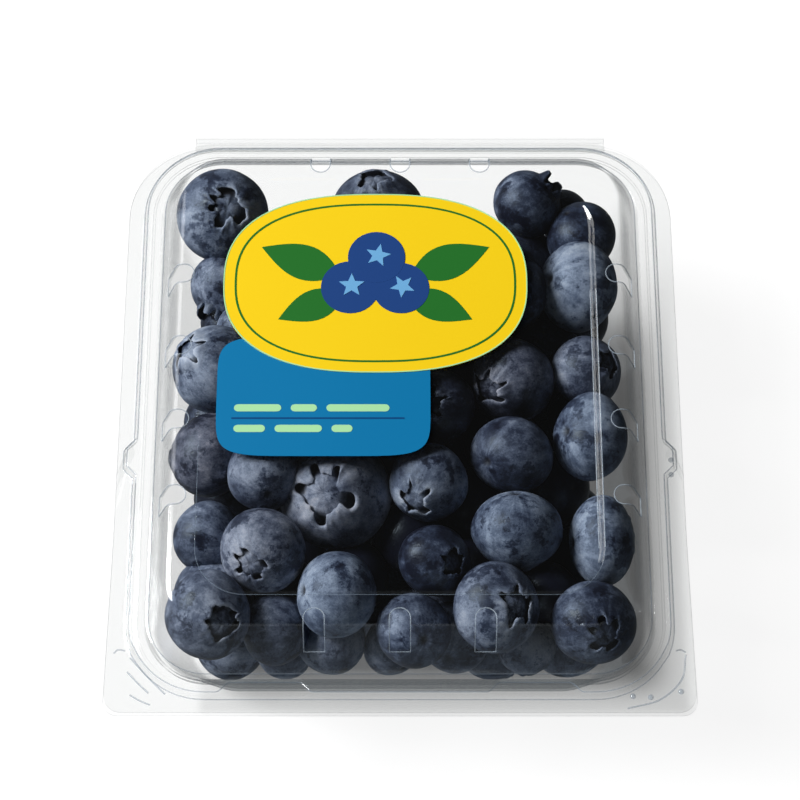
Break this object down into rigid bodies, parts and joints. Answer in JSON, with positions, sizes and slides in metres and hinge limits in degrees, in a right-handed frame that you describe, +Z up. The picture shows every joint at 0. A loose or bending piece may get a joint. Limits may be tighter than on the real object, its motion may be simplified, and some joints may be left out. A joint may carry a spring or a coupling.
{
  "type": "punnet of blueberries",
  "caption": "Clear hinged clamshell punnet heaped with blueberries, with raised rim, vented lid, finger tabs and a plain yellow and blue sticker.",
  "frame": {"origin": "centre of the whole punnet's footprint, on the surface that it stands on", "axes": "+Z up, +Y towards the living hinge at the back, so the finger tabs are at -Y; +X to the right when looking from the tabs to the hinge"},
  "size_m": [0.111, 0.124, 0.0411],
  "materials": {
    "clear_plastic": "clear glossy thermoformed sheet",
    "berry_skin": "blue-black fruit skin under a pale waxy bloom",
    "label_paper": "smooth coated print"
  },
  "bodies": {
    "tray": {"tray": "clear_plastic", "berries": "berry_skin"},
    "lid": {"lid": "clear_plastic", "sticker": "label_paper"}
  },
  "joints": [
    {"name": "lid_hinge", "type": "hinge", "parent": "tray", "child": "lid", "pos_m": [0, 0.06145, 0.027], "axis": [-1, 0, 0], "range_deg": [0, 170]}
  ]
}
